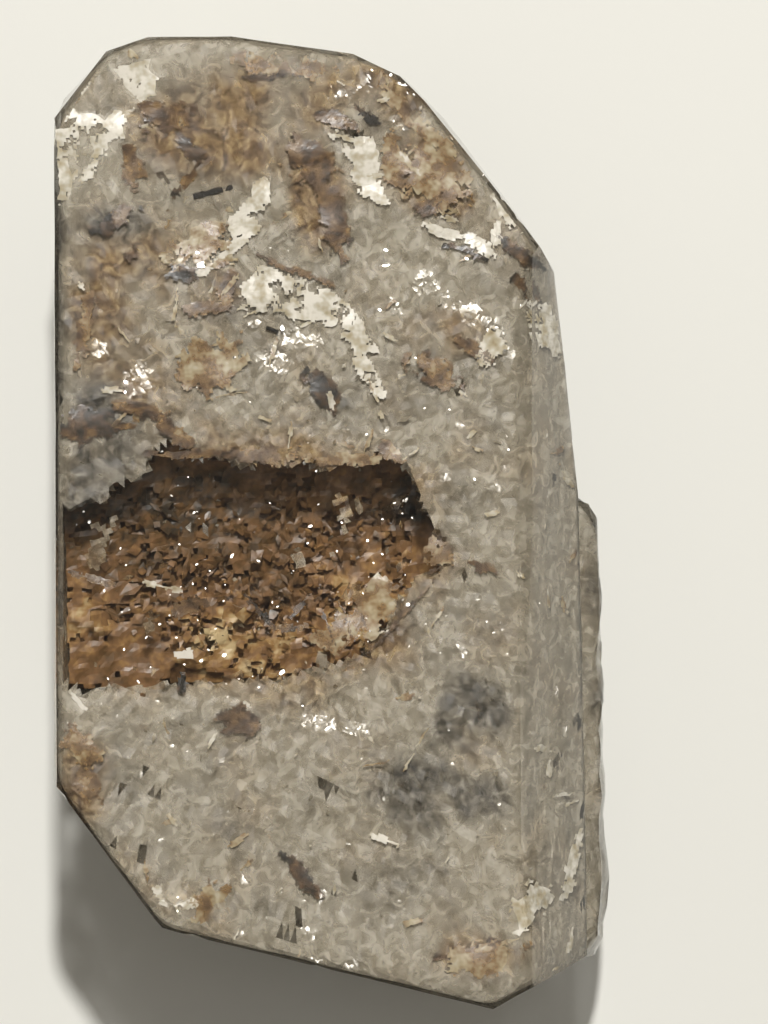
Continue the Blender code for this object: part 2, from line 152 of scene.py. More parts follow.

# Films on cracks near the surface: middle, half length, half width, turn in degrees, and tone, which
# runs from 0 for near black through 0.25 for brown, 0.45 for ochre and 0.65 for beige to 1 for silver, a painted
# reflection: the mirror look of a crack that air has got into.
FILMS = (
    # round the shell-shaped crack
    (-5.3, 11.2, 1.3, 1.2, 0, 0.52),
    (-6.0, 9.7, 0.65, 0.38, -15, 0.04),
    (-4.1, 9.1, 0.75, 0.38, 80, 0.3),
    (-5.0, 8.4, 1.1, 0.28, 8, 0.33),
    (-4.8, 6.1, 1.3, 1.0, 20, 0.5),
    # the upper left, below the clear corner
    (-6.6, 15.8, 1.1, 0.5, 0, 0.32),
    (-5.6, 14.6, 0.7, 0.3, -45, 0.16),
    (-7.8, 13.8, 0.8, 0.4, -80, 0.36),
    (-5.8, 13.3, 0.8, 0.14, 57, 0.2),
    (-8.5, 11.8, 1.0, 0.34, 28, 0.12),
    (-7.9, 10.5, 0.35, 0.22, 20, 0.12),
    (-9.7, 7.6, 1.4, 0.3, 80, 0.4),
    # under the cap
    (-2.0, 17.8, 2.0, 0.42, -6, 0.45),
    (-2.5, 17.4, 1.1, 0.15, 0, 0.12),
    (0.0, 15.7, 0.85, 0.34, -10, 0.25),
    (1.3, 15.9, 0.55, 0.16, -38, 0.02),
    (3.3, 15.6, 1.9, 0.3, -42, 0.5),
    # the lacy brown film beside the striped window
    (-0.9, 14.2, 1.1, 0.8, -30, 0.3),
    (-0.1, 12.2, 1.8, 0.5, -74, 0.24),
    (-1.2, 9.7, 1.65, 0.11, -22, 0.35),
    (2.3, 14.0, 1.2, 0.5, -75, 0.45),
    (3.9, 13.6, 1.45, 1.05, -50, 0.48),
    (3.6, 12.3, 0.6, 0.35, 20, 0.25),
    (5.9, 13.6, 0.35, 0.18, -50, 0.0),
    # painted highlight: silver films for the bright rim at the upper right, with the dark line under it
    (4.2, 11.4, 0.9, 0.2, -18, 1.0),
    (5.6, 10.8, 0.75, 0.26, -20, 1.0),
    (6.4, 11.3, 0.65, 0.18, 85, 1.0),
    (5.0, 10.6, 0.9, 0.13, -22, 0.04),
    (7.3, 10.4, 0.95, 0.24, -43, 0.12),
    (7.6, 10.4, 0.4, 0.13, -40, 0.0),
    (7.3, 9.2, 0.65, 0.24, -50, 0.14),
    (6.8, 12.1, 0.85, 0.4, -55, 0.86),
    (8.2, 7.5, 0.95, 0.5, -75, 0.88),
    (3.9, 5.9, 1.2, 0.5, -30, 0.32),
    (5.5, 6.7, 0.75, 0.25, -30, 0.25),
    (6.1, 6.9, 0.75, 0.5, 80, 0.8),
    (-0.4, 5.2, 0.85, 0.45, -50, 0.1),
    # on the book of mica: its upper edge, its round tip, the pale striped part and its lower right edge
    (-5.4, 2.7, 1.6, 0.16, 0, 0.3),
    (-2.9, 2.6, 1.3, 0.32, -6, 0.36),
    (0.6, 2.5, 1.5, 0.22, 0, 0.46),
    (2.2, 2.75, 0.6, 0.3, -50, 0.36),
    (4.15, -1.2, 0.5, 0.55, 0, 0.5),
    (3.9, -1.9, 0.5, 0.06, 25, 0.12),
    (1.5, -3.3, 1.3, 0.7, 50, 0.52),
    (0.1, -4.3, 0.9, 0.6, 40, 0.5),
    (-0.2, -4.2, 0.7, 0.07, -68, 0.2),
    (0.5, -3.9, 0.7, 0.08, -65, 0.24),
    (1.1, -3.7, 0.6, 0.06, -62, 0.26),
    (2.5, -3.8, 2.0, 0.08, 48, 0.2),
    (-2.9, -3.4, 0.8, 0.12, -45, 0.16),
    (-1.9, -4.1, 0.7, 0.14, 0, 0.2),
    (-1.3, -3.2, 0.6, 0.1, 50, 0.26),
    (-5.6, -3.3, 0.9, 0.3, 15, 0.3),
    (-6.4, -2.6, 1.0, 0.1, -14, 0.75),
    (-9.4, -2.2, 1.0, 0.12, -18, 0.3),
    (-5.9, -6.2, 0.16, 0.4, 0, 0.04),
    # painted reflection: a silver fleck on the book
    (-5.8, -5.2, 0.3, 0.2, 0, 1.0),
    (-7.4, 4.4, 0.8, 0.26, -12, 0.2),
    (-6.1, 3.5, 0.8, 0.34, -50, 0.34),
    # round the book of mica
    (-7.6, 4.5, 1.0, 0.2, -10, 0.3),
    (-6.2, 3.6, 0.8, 0.3, -35, 0.3),
    (-9.6, 3.8, 1.2, 0.6, 10, 0.14),
    (-3.7, -7.7, 0.8, 0.55, 0, 0.2),
    (5.8, -1.7, 0.5, 0.2, -20, 0.16),
    # the lower end
    # painted reflection: a silver line at the lower end
    (-9.9, -7.0, 0.45, 0.07, -42, 1.0),
    (-9.8, -8.7, 0.9, 0.5, -50, 0.45),
    (-9.6, -10.3, 0.8, 0.42, -50, 0.36),
    (-6.2, -14.6, 0.8, 0.36, -25, 0.9),
    (-4.8, -14.8, 0.8, 0.7, 30, 0.5),
    (-1.2, -13.8, 1.1, 0.28, -50, 0.2),
    (1.9, -12.3, 0.5, 0.11, -20, 0.95),
    (5.9, -17.0, 1.4, 0.65, 5, 0.55),
    (4.1, -16.9, 0.3, 0.1, 10, 0.25),
    (6.3, -16.3, 0.3, 0.14, 0, 0.25),
    (9.3, -13.2, 1.6, 0.24, 75, 0.84),
    (7.5, -15.0, 0.95, 0.5, 60, 0.84),
)

SHEET_THICKNESS = 0.03 * MM
FILM_CELL = 0.09

# How a flake lies that throws the lamp's light straight up.
GLINT_HEADING = 178
GLINT_LEAN = 15

# Small dark rods: middle, length, width and turn.
RODS = (
    (-4.7, 12.9, 1.6, 0.36, 14),
    (-2.4, 7.5, 0.5, 0.16, -20),
    (-5.9, -6.3, 0.7, 0.2, 80),
)

# Groups of glints: middle, half length, half width, turn and count.
GLINTS = (
    (-1.3, 7.2, 1.0, 0.4, -5, 60),
    (-2.3, 6.2, 0.8, 0.5, -20, 50),
    (-7.7, 5.6, 0.7, 0.9, 0, 60),
    (-9.1, 6.8, 0.4, 0.3, 0, 14),
    (1.0, 17.0, 0.7, 0.4, 30, 34),
    (0.2, 16.7, 0.5, 0.15, 20, 10),
    (3.2, 16.6, 1.4, 0.16, -42, 22),
    (2.4, 15.7, 0.5, 0.15, -50, 10),
    (3.5, 9.4, 0.7, 0.5, -20, 40),
    (5.2, 8.2, 1.7, 0.4, -30, 60),
    (6.6, 6.7, 0.6, 0.3, -20, 16),
    (2.4, 8.3, 0.5, 0.2, -70, 14),
    (-3.1, 7.7, 0.3, 0.15, 0, 6),
    (-4.6, 16.7, 0.2, 0.25, 0, 6),
    (-2.6, 17.2, 0.15, 0.15, 0, 4),
    (-7.0, 16.3, 0.3, 0.1, 0, 5),
    (-8.9, 10.4, 0.25, 0.3, 0, 6),
    (-9.1, 8.3, 0.15, 0.15, 0, 3),
    (-5.9, 10.0, 0.15, 0.12, 0, 4),
    (-4.1, 10.8, 0.2, 0.12, 0, 4),
    (-4.8, 10.1, 0.25, 0.15, 0, 5),
    (-0.7, -7.8, 0.9, 0.35, -10, 40),
    (0.9, -8.0, 0.5, 0.3, 0, 30),
    (-4.4, -9.2, 0.15, 0.1, 0, 3),
    (-3.5, -14.0, 0.1, 0.15, 0, 3),
    (-0.5, -14.6, 0.12, 0.3, -30, 4),
    (-1.0, -16.0, 0.4, 0.25, 0, 8),
    (-0.8, -17.0, 0.4, 0.2, 0, 5),
    (0.8, -17.2, 0.4, 0.2, 0, 6),
    (-6.8, -12.3, 0.2, 0.1, 0, 3),
    (4.8, 3.8, 0.25, 0.1, 0, 5),
    (2.1, 3.5, 0.15, 0.15, 0, 4),
    (4.3, 1.7, 0.3, 0.2, 0, 8),
    (6.3, 1.4, 0.2, 0.15, 0, 4),
    (8.0, 1.1, 0.15, 0.15, 0, 3),
    (6.4, -4.3, 0.35, 0.1, 30, 6),
    (4.9, -4.9, 0.4, 0.1, -60, 6),
    (8.0, -5.2, 0.15, 0.12, 0, 3),
    (8.5, -6.7, 0.25, 0.15, 0, 5),
    (7.6, -8.3, 0.15, 0.12, 0, 4),
    (8.8, -8.2, 0.25, 0.12, 0, 5),
)

# Where rust stains the haze, and where the haze is made darker: middle and half sizes in mm from above, then strength.
RUST_STAINS = (
    (-6.2, 16.1, 1.3, 1.1, 0.9),
    (-4.4, 15.4, 3.4, 2.4, 0.75),
    (-8.4, 9.4, 2.4, 3.4, 0.6),
    (-7.6, 5.0, 2.2, 2.6, 0.4),
    (0.8, 16.5, 2.8, 1.4, 0.7),
    (-0.7, 12.4, 1.0, 2.3, 0.7),
    (-4.6, 9.1, 1.2, 0.9, 0.6),
    (4.3, 7.3, 2.0, 1.0, 0.6),
    (3.5, 13.7, 1.6, 1.5, 0.9),
    (4.7, 12.4, 0.8, 0.6, 0.9),
    (-3.4, -1.6, 8.4, 5.2, 0.8),
    (-9.8, -10.0, 1.2, 1.8, 0.8),
    (-6.2, -14.5, 1.3, 0.7, 0.6),
    (5.6, -17.0, 1.8, 0.8, 0.8),
)
DARK_PATCHES = (
    (-6.0, 0.9, 2.4, 1.9, 0.8),
    (-9.4, 2.4, 1.9, 2.9, 0.9),
    (-10.8, 4.6, 0.5, 9.0, 0.7),
    (-8.5, 11.8, 1.4, 0.5, 0.8),
    (5.2, -7.7, 1.7, 1.5, 0.7),
    (4.2, -10.8, 2.5, 1.6, 0.7),
    (0.2, 5.2, 0.9, 0.8, 0.6),
    (10.2, -5.0, 0.8, 3.0, 0.5),
)

Cloud = namedtuple("Cloud", "centre radii heading lean count width scatter roll", defaults=(0,))


def linear(hex_colour):
    """The linear colour, with alpha, of an sRGB hex value."""
    parts = [int(hex_colour[k : k + 2], 16) / 255 for k in (1, 3, 5)]
    return (*(c / 12.92 if c <= 0.04045 else ((c + 0.055) / 1.055) ** 2.4 for c in parts), 1.0)


class CrystalSizes(bpy.types.PropertyGroup):
    haze_flakes: IntProperty(
        name="Pale flakes",
        description="Pale mica flakes spread through the whole crystal",
        default=26000,
        min=0,
    )
    flake_width: FloatProperty(
        name="Flake width",
        description="Usual width of one pale flake",
        default=0.17 * MM,
        unit="LENGTH",
    )
    lace_cell: FloatProperty(
        name="Lace cell",
        description="Width of the smallest patch in the lacy sheets of haze",
        default=0.2 * MM,
        unit="LENGTH",
    )
    surface_wave: FloatProperty(
        name="Surface wave",
        description="How far the crystal's faces rise and fall",
        default=0.03 * MM,
        unit="LENGTH",
    )
    stray_cracks: IntProperty(
        name="Stray cracks",
        description="Short cracks spread through the crystal",
        default=300,
        min=0,
    )
    sheet_count: IntProperty(
        name="Mica sheets",
        description="Ragged sheets in the book of rusty mica",
        default=13,
        min=1,
    )


class CrystalColours(bpy.types.PropertyGroup):
    quartz: FloatVectorProperty(
        name="Quartz",
        description="Tint of light after a long way through the crystal",
        default=linear("#DCD6C8")[:3],
        subtype="COLOR",
    )
    pale_mica: FloatVectorProperty(
        name="Pale mica",
        description="Colour of the fine flakes",
        default=linear("#CFC7B4")[:3],
        subtype="COLOR",
    )
    rust: FloatVectorProperty(
        name="Rust",
        description="Colour of the rusty flakes and films",
        default=linear("#8A5A2B")[:3],
        subtype="COLOR",
    )
    paper: FloatVectorProperty(
        name="Paper",
        description="Colour of the sheet that the crystal lies on",
        default=linear("#EFEEE7")[:3],
        subtype="COLOR",
    )


def sizes():
    return bpy.context.scene.crystal_sizes


def colours():
    return bpy.context.scene.crystal_colours


# Helpers for meshes


def keep_object(name, mesh, material, replaced=None):
    """Puts a finished mesh in the scene, riding on the part, and hides the CAD part it stands for."""
    if not mesh.polygons:
        raise RuntimeError(f"{name} came out empty")
    piece = bpy.data.objects.new(name, mesh)
    bpy.context.scene.collection.objects.link(piece)
    mesh.materials.append(material)
    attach(piece, "root")
    if replaced:
        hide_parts(replaced)
    return piece


def mesh_from(name, bm):
    mesh = bpy.data.meshes.new(name)
    bm.to_mesh(mesh)
    bm.free()
    return mesh


def crystal_tree():
    """The crystal's surface, for telling what lies inside it."""
    bm = whole_quartz()
    tree = BVHTree.FromBMesh(bm)
    bm.free()
    return tree


def first_hit(tree, start, way):
    """Where a ray first meets the crystal, and the face's normal. One that slips through a seam is nudged."""
    for nudge in (0.0, 0.01, -0.02):
        place, normal, _, _ = tree.ray_cast(start + Vector((nudge, nudge, 0)) * MM, way)
        if place is not None:
            break
    return place, normal


def depth_inside(tree, point):
    """How deep a point lies under the crystal's surface. It is -1 outside."""
    way = Vector((0.01, 0.02, 1.0))
    _, normal, _, _ = tree.ray_cast(point, way)
    if normal is None or normal.dot(way) < 0:
        return -1.0
    return tree.find_nearest(point)[3]


def in_outline(points, outline):
    """Which points lie inside an outline in mm, as seen from above."""
    x, y = points[:, 0] / MM, points[:, 1] / MM
    inside = np.zeros(len(points), dtype=bool)
    for (x1, y1), (x2, y2) in zip(outline, outline[1:] + outline[:1]):
        crossed = (y1 > y) != (y2 > y)
        rise = (y2 - y1) or 1.0
        inside ^= crossed & (x < x1 + (x2 - x1) * (y - y1) / rise)
    return inside


def in_window(points):
    return np.any([in_outline(points, outline) for outline in CLEAR_WINDOWS], axis=0)


def oval_reach(points, x, y, long, wide, turn):
    """How far out each point is in an oval in mm, from 0 in its middle to 1 at its rim."""
    away_x, away_y = points[:, 0] / MM - x, points[:, 1] / MM - y
    cos, sin = math.cos(math.radians(turn)), math.sin(math.radians(turn))
    return np.hypot((away_x * cos + away_y * sin) / long, (away_y * cos - away_x * sin) / wide)


def centres_of(bm):
    return np.array([face.calc_center_median() for face in bm.faces])


def depths_inside(tree, points, wanted):
    """The depth of each wanted point under the surface, and -1 for the others."""
    depths = np.full(len(points), -1.0)
    for index in np.flatnonzero(wanted):
        depths[index] = depth_inside(tree, Vector(points[index]))
    return depths


def lace_at(points, size, offset):
    """Cloudy noise from about -1 to 1, with patches of about this size in mm."""
    return np.array([noise.fractal(Vector(point) / (size * MM) + offset, 0.75, 2.2, 5) for point in points])


def drop_faces(bm, gone):
    faces = [face for face, out in zip(bm.faces, gone) if out]
    bmesh.ops.delete(bm, geom=faces, context="FACES")


def stain_at(points, stains):
    """How much of a stain each point gets, from 0 to 1, softly bounded as seen from above."""
    amount = np.zeros(len(points))
    for x, y, long, wide, strength in stains:
        reach = ((points[:, 0] / MM - x) / long) ** 2 + ((points[:, 1] / MM - y) / wide) ** 2
        amount = np.maximum(amount, strength * np.clip(1.6 - 1.1 * reach, 0.0, 1.0))
    return amount


def tone_at(points):
    """How weathered the book is at each point: the nearest of BOOK_TONES weigh most."""
    total = np.zeros(len(points))
    weights = np.zeros(len(points))
    for x, y, tone in BOOK_TONES:
        distance = np.hypot(points[:, 0] / MM - x, points[:, 1] / MM - y)
        weight = 1 / (distance + 0.4) ** 3
        total += weight * tone
        weights += weight
    return total / weights


def add_values(mesh, name, values):
    attribute = mesh.attributes.new(name, "FLOAT", "POINT")
    attribute.data.foreach_set("value", np.asarray(values, dtype=np.float32))


def points_of(mesh):
    points = np.empty(len(mesh.vertices) * 3)
    mesh.vertices.foreach_get("co", points)
    return points.reshape(-1, 3)


def add_stains(mesh):
    """Stores on each point how rusty and how darkened it is: the stains and dark patches, with soft clouds over them.
    """
    points = points_of(mesh)
    for name, stains, size, strength in (("rust", RUST_STAINS, 2.6, 0.5), ("darkening", DARK_PATCHES, 1.9, 0.6)):
        clouds = lace_at(points, size, Vector((len(stains), size, 0)))
        add_values(mesh, name, np.clip(stain_at(points, stains) * (1 + clouds) + strength * clouds, 0, 1))


def flake_shape(sides):
    """A flake 1 across: two shallow points back to back, with a many-sided rim."""
    bm = bmesh.new()
    bmesh.ops.create_uvsphere(bm, u_segments=sides, v_segments=2, radius=0.5)
    bmesh.ops.triangulate(bm, faces=bm.faces)
    bmesh.ops.recalc_face_normals(bm, faces=bm.faces)
    points = np.array([v.co for v in bm.verts])
    faces = np.array([[v.index for v in f.verts] for f in bm.faces])
    bm.free()
    return points, faces


def cloud_points(cloud, rng):
    """Places and normals of a cloud's flakes, before any is left out."""
    turn = np.array(Euler([math.radians(a) for a in (cloud.lean, cloud.roll, cloud.heading)]).to_matrix())
    way = rng.normal(size=(cloud.count, 3))
    way /= np.linalg.norm(way, axis=1, keepdims=True)
    reach = rng.random((cloud.count, 1)) ** (1 / 3)
    places = (way * reach * np.array(cloud.radii)) @ turn.T + np.array(cloud.centre)
    normals = turn[:, 2] * (1 - cloud.scatter) + rng.normal(size=(cloud.count, 3)) * cloud.scatter
    normals /= np.linalg.norm(normals, axis=1, keepdims=True)
    widths = cloud.width * rng.lognormal(0.0, 0.42, cloud.count)
    return places * MM, normals, np.clip(widths, 0.3 * cloud.width, 2.6 * cloud.width) * MM


def facing_lamp(count, rng):
    """Normals that throw the lamp's light straight up, spread a little so that not all of them do."""
    turn = Euler((math.radians(GLINT_LEAN), 0, math.radians(GLINT_HEADING))).to_matrix()
    normals = np.array(turn)[:, 2] + rng.normal(size=(count, 3)) * 0.06
    return normals / np.linalg.norm(normals, axis=1, keepdims=True)


def scatter_flakes(name, clouds, seed, sides=4, thickness=0.07, windows=True, patchy=0.0, over_book=False, glint=False):
    """One mesh of flakes in those clouds, kept inside the crystal and out of its clear windows."""
    rng = np.random.default_rng(seed)
    tree = crystal_tree()
    kept = []
    for cloud in clouds:
        places, normals, widths = cloud_points(cloud, rng)
        chance = rng.random(cloud.count)
        wanted = np.ones(cloud.count, dtype=bool)
        if windows:
            wanted &= (chance < 0.04) | ~in_window(places)
        if over_book:
            wanted &= (chance < 0.08) | ~in_outline(places, BOOK_FROM_ABOVE)
        if patchy:
            thickness_here = np.array([noise.noise(Vector(place) / (1.7 * MM)) for place in places]) * 0.5 + 0.5
            wanted &= thickness_here > patchy * chance
        wanted = depths_inside(tree, places, wanted) > 0.55 * widths + 0.05 * MM
        kept.append((places[wanted], normals[wanted], widths[wanted], rng.random(np.count_nonzero(wanted))))
    places, normals, widths, shades = (np.concatenate(column) for column in zip(*kept))
    count = len(places)
    if glint:
        normals = facing_lamp(count, rng)
    across = np.cross(normals, rng.normal(size=(count, 3)))
    across /= np.linalg.norm(across, axis=1, keepdims=True)
    along = np.cross(normals, across)
    points, faces = flake_shape(sides)
    local = points[None] * (1 + 0.35 * rng.uniform(-1, 1, (count, len(points), 3)))
    stretch = rng.uniform(0.55, 1.5, count)
    local = local * np.stack([widths * stretch, widths / stretch, widths * thickness], axis=1)[:, None]
    world = (
        local[..., 0:1] * across[:, None] + local[..., 1:2] * along[:, None] + local[..., 2:3] * normals[:, None]
    ) + places[:, None]
    first = np.arange(count)[:, None, None] * len(points)
    every_face = (faces[None] + first).reshape(-1, 3)
    mesh = bpy.data.meshes.new(name)
    mesh.from_pydata(world.reshape(-1, 3).tolist(), [], every_face.tolist())
    add_values(mesh, "shade", np.repeat(shades, len(points)))
    add_stains(mesh)
    return mesh


# Helpers for materials


def new_material(name):
    material = bpy.data.materials.new(name)
    material.use_nodes = True
    return material


def shader_of(material):
    return material.node_tree.nodes["Principled BSDF"]


def add_node(material, kind, values=(), links=(), **settings):
    """Adds a node with its settings, its socket values and its links from other sockets."""
    node = material.node_tree.nodes.new(kind)
    for name, value in settings.items():
        setattr(node, name, value)
    for name, value in dict(values).items():
        node.inputs[name].default_value = value
    for name, socket in dict(links).items():
        material.node_tree.links.new(socket, node.inputs[name])
    return node


def set_shader(material, values=(), links=()):
    shader = shader_of(material)
    for name, value in dict(values).items():
        shader.inputs[name].default_value = value
    for name, socket in dict(links).items():
        material.node_tree.links.new(socket, shader.inputs[name])


def set_stops(node, stops):
    """Gives a colour ramp its stops, as places and sRGB hex values."""
    elements = node.color_ramp.elements
    while len(elements) > 1:
        elements.remove(elements[-1])
    elements[0].position, elements[0].color = stops[0][0], linear(stops[0][1])
    for place, colour in stops[1:]:
        elements.new(place).color = linear(colour)
    return node


def per_mm(count):
    """A texture scale that gives this many features to a millimetre."""
    return count / MM


# Materials


def clear_quartz():
    """Quartz with natural growth faces: glassy, faintly smoky, with low hillocks that bend the view."""
    material = new_material("clear quartz")
    place = add_node(material, "ShaderNodeTexCoord").outputs["Object"]
    hillocks = add_node(
        material, "ShaderNodeTexNoise", {"Scale": per_mm(0.7), "Detail": 3.0, "Roughness": 0.45}, {"Vector": place}
    )
    bump = add_node(
        material, "ShaderNodeBump", {"Strength": 1.0, "Distance": 0.035 * MM}, {"Height": hillocks.outputs["Fac"]}
    )
    set_shader(
        material,
        {"Base Color": (1, 1, 1, 1), "Roughness": 0.03, "IOR": 1.544, "Transmission Weight": 1.0},
        {"Normal": bump.outputs["Normal"]},
    )
    absorption = add_node(
        material, "ShaderNodeVolumeAbsorption", {"Color": (*colours().quartz, 1.0), "Density": 55.0}
    )
    output = material.node_tree.nodes["Material Output"]
    material.node_tree.links.new(absorption.outputs["Volume"], output.inputs["Volume"])
    return material


def stained_haze(name, roughness, cover):
    """Fine sericite mica in quartz: pale grey-beige and pearly, browned by rust or darkened in places."""
    material = new_material(name)
    place = add_node(material, "ShaderNodeTexCoord").outputs["Object"]
    grain = add_node(
        material,
        "ShaderNodeTexNoise",
        {"Scale": per_mm(1.7), "Detail": 1.5, "Roughness": 0.7, "Distortion": 1.3},
        {"Vector": place},
    )
    pale = add_node(material, "ShaderNodeValToRGB", links={"Fac": grain.outputs["Fac"]})
    set_stops(pale, ((0.3, "#928873"), (0.48, "#AAA08B"), (0.7, "#C8C0AD")))
    brown = add_node(material, "ShaderNodeValToRGB", links={"Fac": grain.outputs["Fac"]})
    set_stops(brown, ((0.3, "#4A331F"), (0.5, "#866A45"), (0.7, "#BDA273")))
    dark = add_node(material, "ShaderNodeValToRGB", links={"Fac": grain.outputs["Fac"]})
    set_stops(dark, ((0.3, "#37332B"), (0.5, "#6D6658"), (0.7, "#A29A8A")))
    colour = pale.outputs["Color"]
    for attribute, stained in (("rust", brown), ("darkening", dark)):
        amount = add_node(material, "ShaderNodeAttribute", attribute_name=attribute)
        mixed = add_node(material, "ShaderNodeMix", data_type="RGBA")
        material.node_tree.links.new(amount.outputs["Fac"], mixed.inputs["Factor"])
        material.node_tree.links.new(colour, mixed.inputs["A"])
        material.node_tree.links.new(stained.outputs["Color"], mixed.inputs["B"])
        colour = mixed.outputs["Result"]
    # Thin flakes of mica let much of the light through, so they shade one another only lightly.
    set_shader(material, {"Roughness": roughness, "IOR": 1.6, "Alpha": cover}, {"Base Color": colour})
    return material


def toned_mica(name, stops, roughness, cover, grain, spread, metallic=0.0):
    """Mica whose tone is set from place to place, with a fine uneven grain."""
    material = new_material(name)
    place = add_node(material, "ShaderNodeTexCoord").outputs["Object"]
    blotches = add_node(
        material, "ShaderNodeTexNoise", {"Scale": per_mm(grain), "Detail": 2.0, "Roughness": 0.7}, {"Vector": place}
    )
    offset = add_node(
        material,
        "ShaderNodeMapRange",
        {"From Min": 0.3, "From Max": 0.7, "To Min": -spread, "To Max": spread},
        {"Value": blotches.outputs["Fac"]},
    )
    tone = add_node(material, "ShaderNodeAttribute", attribute_name="tone")
    total = add_node(material, "ShaderNodeMath", operation="ADD")
    material.node_tree.links.new(tone.outputs["Fac"], total.inputs[0])
    material.node_tree.links.new(offset.outputs["Result"], total.inputs[1])
    ramp = add_node(material, "ShaderNodeValToRGB", links={"Fac": total.outputs["Value"]})
    set_stops(ramp, stops)
    set_shader(
        material,
        {"Roughness": roughness, "Metallic": metallic, "IOR": 1.6, "Alpha": cover},
        {"Base Color": ramp.outputs["Color"]},
    )
    return material


def rusty_mica():
    """Biotite mica gone rusty: near black where it is fresh, brown to golden where it has weathered."""
    stops = ((0.0, "#242119"), (0.2, "#413423"), (0.4, "#624829"), (0.6, "#7B5A38"), (0.78, "#9E7A4A"), (0.95, "#C5AE82"))
    return toned_mica("rusty biotite", stops, 0.42, 1.0, 1.6, 0.22)


def films_and_painted_light():
    """Films on cracks in the quartz: dark, rusty or beige, and at their palest a painted reflection, the silver look of
    a crack that air has got into. The clear windows' painted light takes this finish too.
    """
    stops = ((0.0, "#2B2822"), (0.22, "#5F4831"), (0.45, "#8C6F48"), (0.65, "#B5A786"), (0.85, "#CFC7B3"), (1.0, "#EDE7D9"))
    return toned_mica("crack films and painted light", stops, 0.35, 0.62, 1.7, 0.26)


def silvery_mica():
    """Clean muscovite flakes turned to the lamp, the bright points of the crystal."""
    stops = ((0.0, "#D9D4C8"), (0.6, "#F3EFE6"), (1.0, "#FFF7EC"))
    return toned_mica("silvery muscovite", stops, 0.25, 1.0, 0.8, 0.3, metallic=0.5)


def dark_rod():
    """Small rods of tourmaline: black and glassy."""
    material = new_material("black tourmaline")
    place = add_node(material, "ShaderNodeTexCoord").outputs["Object"]
    ribs = add_node(material, "ShaderNodeTexNoise", {"Scale": per_mm(3.0), "Detail": 2.0}, {"Vector": place})
    ramp = add_node(material, "ShaderNodeValToRGB", links={"Fac": ribs.outputs["Fac"]})
    set_stops(ramp, ((0.35, "#14130F"), (0.65, "#2E2B25")))
    set_shader(material, {"Roughness": 0.2, "IOR": 1.62}, {"Base Color": ramp.outputs["Color"]})
    return material


def paper():
    """Plain uncoated paper: matt, off-white, with a fibre mottle too faint to read as a pattern."""
    material = new_material("uncoated paper")
    place = add_node(material, "ShaderNodeTexCoord").outputs["Object"]
    fibre = add_node(material, "ShaderNodeTexNoise", {"Scale": per_mm(1.5), "Detail": 4.0}, {"Vector": place})
    bump = add_node(
        material, "ShaderNodeBump", {"Strength": 0.2, "Distance": 0.02 * MM}, {"Height": fibre.outputs["Fac"]}
    )
    set_shader(
        material,
        {"Base Color": (*colours().paper, 1.0), "Roughness": 0.9, "Specular IOR Level": 0.1},
        {"Normal": bump.outputs["Normal"]},
    )
    return material


# Pieces


def close_pockets(bm):
    """Takes away the CAD pockets round the mica, so that the quartz is whole, and mends the left face."""
    boxes = []
    for node, room in (("mica_book", 1.2 * MM), ("mica_veil", 0.45 * MM)):
        low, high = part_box(node)
        margin = Vector((room, room, room))
        boxes.append((low - margin, high + margin))
    left = max((f for f in bm.faces if f.normal.x < -0.9), key=lambda f: f.calc_area())
    start, outward = left.verts[0].co.copy(), left.normal.copy()

    def on_left_face(face):
        return abs((face.calc_center_median() - start).dot(outward)) < 0.02 * MM

    def in_pocket(point):
        return any(all(low[k] < point[k] < high[k] for k in range(3)) for low, high in boxes)

    pocket = [f for f in bm.faces if all(in_pocket(v.co) for v in f.verts) and not on_left_face(f)]
    bmesh.ops.delete(bm, geom=pocket, context="FACES")
    rim = [e for e in bm.edges if len(e.link_faces) == 1]
    loose = [v for v in bm.verts if not v.link_faces]
    bmesh.ops.delete(bm, geom=loose, context="VERTS")
    bmesh.ops.contextual_create(bm, geom=[e for e in rim if e.is_valid])
    bmesh.ops.recalc_face_normals(bm, faces=bm.faces)


def straighten_sides(bm):
    """Sets the steep faces nearly upright above their widest line, so that the top reaches the outline."""
    goals = []
    for face in bm.faces:
        if STEEP_FACES[0] < face.normal.z < STEEP_FACES[1] and face.calc_area() > 4 * MM**2:
            outward = Vector((face.normal.x, face.normal.y, 0)).normalized()
            reach = max(vert.co.dot(outward) for vert in face.verts)
            for vert in face.verts:
                goals.append((vert, outward, 0.15 * vert.co.dot(outward) + 0.85 * reach))
    # a corner belongs to two faces, so it is brought to both goals step by step
    for _ in range(20):
        for vert, outward, goal in goals:
            vert.co += outward * (goal - vert.co.dot(outward))
    low, high = CAD_BOUNDS
    for vert in bm.verts:
        vert.co = Vector(map(max, low, map(min, high, vert.co)))


def lower_ledges(bm):
    """Leaves only a tenth of each growth ledge's height, so that its rim bends the view no more."""
    for vert in bm.verts:
        above = vert.co.z - (TOP_HEIGHT - vert.co.x * TOP_TILT[0] - vert.co.y * TOP_TILT[1])
        vert.co.z -= 0.9 * max(above, 0.0)


def whole_quartz():
    """The CAD crystal without its pockets, with low ledges and its steep faces set upright."""
    bm = bmesh.new()
    bm.from_mesh(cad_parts["quartz_crystal"].data)
    bmesh.ops.remove_doubles(bm, verts=bm.verts, dist=1e-6)
    close_pockets(bm)
    bmesh.ops.dissolve_limit(bm, angle_limit=math.radians(0.5), verts=bm.verts, edges=bm.edges)
    lower_ledges(bm)
    bm.normal_update()
    straighten_sides(bm)
    return bm


